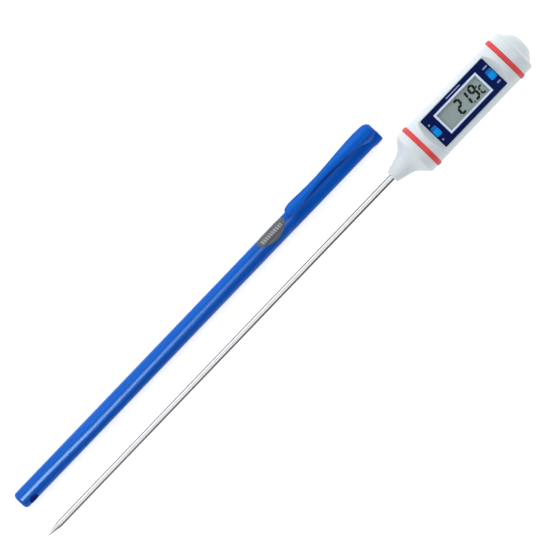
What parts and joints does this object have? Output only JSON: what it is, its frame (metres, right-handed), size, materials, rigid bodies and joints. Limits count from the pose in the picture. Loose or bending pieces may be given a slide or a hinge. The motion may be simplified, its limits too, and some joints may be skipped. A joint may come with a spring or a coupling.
{
  "type": "soil thermometer probe",
  "caption": "Digital thermometer with a long pointed steel stem, a display head with press keys and a screw-off battery cap, and a clip-on protective sheath.",
  "frame": {"origin": "on the stem's axis where the steel stem enters the nose of the head", "axes": "+X along the stem from its tip towards the battery cap, +Z out of the display, +Y towards the side where the sheath lies"},
  "size_m": [0.4133, 0.0509, 0.031],
  "materials": {
    "body_white": "satin cool-white ABS",
    "ring_red": "satin red elastomer",
    "panel_navy": "glossy navy printed sheet",
    "gasket_foam": "matt adhesive foam",
    "bezel_white": "glossy bluish white",
    "window_clear": "clear acrylic",
    "lcd_face": "grey-green liquid crystal cell",
    "zebra_rubber": "matt silicone strip",
    "board_green": "solder mask",
    "chip_black": "epoxy",
    "screw_steel": "zinc plated",
    "button_blue": "bright azure satin rubber",
    "switch_black": "moulded",
    "plunger_white": "moulded",
    "holder_black": "moulded",
    "cell_steel": "nickel-plated steel can",
    "contact_brass": "spring brass, nickel flash",
    "stem_steel": "polished stainless steel",
    "flange_brass": "turned brass",
    "bead_glass": "glass encapsulated bead",
    "compound_grey": "thermal compound",
    "wire_white": "insulated lead",
    "potting_grey": "epoxy resin",
    "sheath_blue": "glossy blue moulding",
    "label_grey": "satin foil label"
  },
  "bodies": {
    "head": {"housing_barrel": "body_white", "front_cone": "body_white", "front_seal_ring": "ring_red", "display_panel": "panel_navy", "panel_gasket": "gasket_foam", "display_bezel": "bezel_white", "display_window": "window_clear", "lcd_glass": "lcd_face", "zebra_strips": "zebra_rubber", "circuit_board": "board_green", "controller_chip": "chip_black", "board_components": "chip_black", "board_screws": "screw_steel", "power_switch": "switch_black", "unit_switch": "switch_black", "battery_holder": "holder_black", "button_cell": "cell_steel", "positive_contact": "contact_brass", "negative_contact": "contact_brass", "stem_tube": "stem_steel", "stem_flange": "flange_brass", "thermistor_bead": "bead_glass", "thermal_compound": "compound_grey", "sensor_wires": "wire_white", "neck_potting": "potting_grey"},
    "power_key": {"power_button": "button_blue", "power_plunger": "plunger_white"},
    "unit_key": {"unit_button": "button_blue", "unit_plunger": "plunger_white"},
    "rear_ring": {"rear_seal_ring": "ring_red"},
    "cap": {"battery_cap": "body_white"},
    "sheath": {"sheath_tube": "sheath_blue", "sheath_label": "label_grey"},
    "clip": {"pocket_clip": "sheath_blue"}
  },
  "joints": [
    {"name": "power_button_press", "type": "slide", "parent": "head", "child": "power_key", "axis": [0, 0, -1], "range_m": [0, 0.0005], "stiffness_N_per_m": 1500},
    {"name": "unit_button_press", "type": "slide", "parent": "head", "child": "unit_key", "axis": [0, 0, -1], "range_m": [0, 0.0005], "stiffness_N_per_m": 1500},
    {"name": "cap_advance", "type": "slide", "parent": "head", "child": "rear_ring", "axis": [1, 0, 0], "range_m": [0, 0.003]},
    {"name": "cap_turn", "type": "hinge", "parent": "rear_ring", "child": "cap", "pos_m": [0.1, 0, 0], "axis": [1, 0, 0], "range_deg": [0, 720]},
    {"name": "sheath_slide", "type": "slide", "parent": "head", "child": "sheath", "axis": [-1, 0, 0], "range_m": [0, 0.33]},
    {"name": "clip_flex", "type": "hinge", "parent": "sheath", "child": "clip", "pos_m": [0.00505, 0.03055, -0.00261], "axis": [0, 0.8387, -0.5446], "range_deg": [0, 2.5], "stiffness_Nm_per_rad": 2}
  ],
  "couplings": [
    {"joint": "cap_advance", "follows": "cap_turn", "m_per_rad": 0.00023873}
  ]
}
